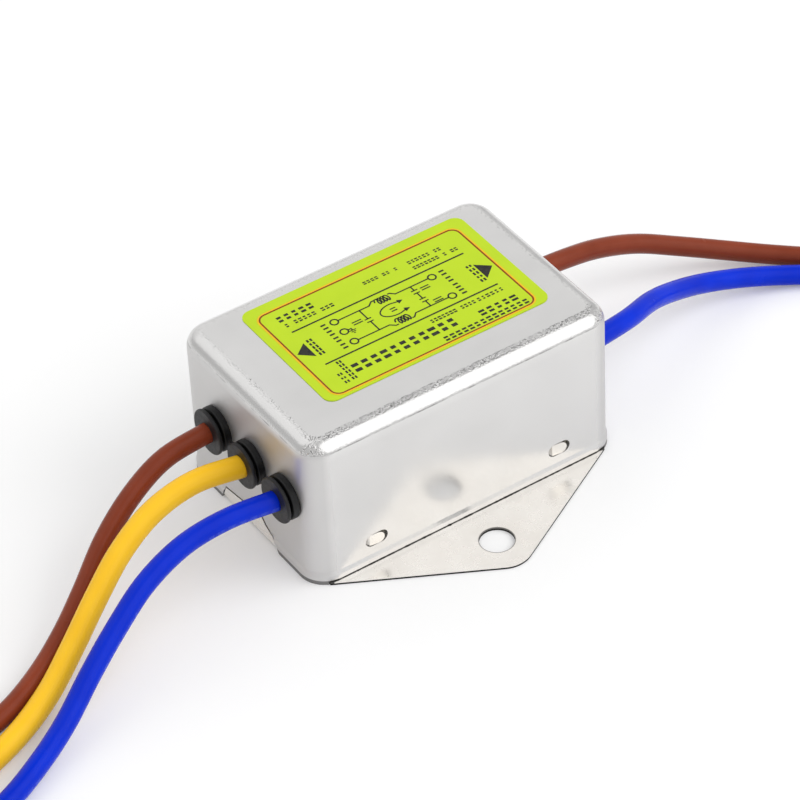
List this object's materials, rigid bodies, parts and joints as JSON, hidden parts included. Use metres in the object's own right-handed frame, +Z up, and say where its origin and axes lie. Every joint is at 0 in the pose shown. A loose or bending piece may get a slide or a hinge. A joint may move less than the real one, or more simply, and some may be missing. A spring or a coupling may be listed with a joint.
{
  "type": "emi line filter",
  "caption": "Chassis-mount mains line filter: a drawn metal can on a base plate with two drilled ears, with flying leads through bushings at both ends.",
  "frame": {"origin": "middle of the base plate's underside, on the surface that the filter is screwed to", "axes": "+X from the line end with three leads to the load end with two leads, +Y along the line through the two mounting holes, +Z up out of the base plate"},
  "size_m": [0.2694, 0.0604, 0.0247],
  "materials": {
    "can_metal": "bright nickel plate on drawn steel, with a fine orange peel on its bends",
    "plate_metal": "bright nickel plate on rolled steel sheet",
    "label_film": "yellow-green polyester film with dark print, satin",
    "bushing_nylon": "moulded black nylon, satin",
    "pvc_brown": "extruded PVC, satin",
    "pvc_yellow": "extruded PVC, satin",
    "pvc_blue": "extruded PVC, satin",
    "tinned_copper": "tinned stranded copper",
    "tray_film": "moulded insulating polyester, matt",
    "board_laminate": "paper laminate, matt",
    "choke_plastic": "moulded black plastic, satin",
    "core_coating": "epoxy coating on ferrite, gloss",
    "enamelled_copper": "enamelled copper wire, gloss",
    "divider_nylon": "natural nylon, satin",
    "x_capacitor_box": "moulded plastic box, satin",
    "resistor_coat": "dipped coating, gloss",
    "y_capacitor_coat": "dipped epoxy, gloss",
    "strap_metal": "tinned strip",
    "solder_metal": "bright solder",
    "fibre_sheet": "insulating sheet, matt"
  },
  "bodies": {
    "root": {"case_shell": "can_metal", "base_plate": "plate_metal", "label": "label_film", "bush_line_live": "bushing_nylon", "bush_line_earth": "bushing_nylon", "bush_line_neutral": "bushing_nylon", "bush_load_live": "bushing_nylon", "bush_load_neutral": "bushing_nylon", "tail_line_live": "pvc_brown", "tail_line_earth": "pvc_yellow", "tail_line_neutral": "pvc_blue", "tail_load_live": "pvc_brown", "tail_load_neutral": "pvc_blue", "tray": "tray_film", "board": "board_laminate", "choke_base": "choke_plastic", "choke_core": "core_coating", "winding_live": "enamelled_copper", "winding_neutral": "enamelled_copper", "choke_divider": "divider_nylon", "x_capacitor": "x_capacitor_box", "bleed_resistor": "resistor_coat", "y_capacitor_live": "y_capacitor_coat", "y_capacitor_neutral": "y_capacitor_coat", "earth_strap": "strap_metal", "solder": "solder_metal", "top_sheet": "fibre_sheet", "lead_line_live": "pvc_brown", "lead_line_earth": "pvc_yellow", "lead_line_neutral": "pvc_blue", "lead_load_live": "pvc_brown", "lead_load_neutral": "pvc_blue", "bare_line_live": "tinned_copper", "bare_line_earth": "tinned_copper", "bare_line_neutral": "tinned_copper", "bare_load_live": "tinned_copper", "bare_load_neutral": "tinned_copper"}
  },
  "joints": []
}
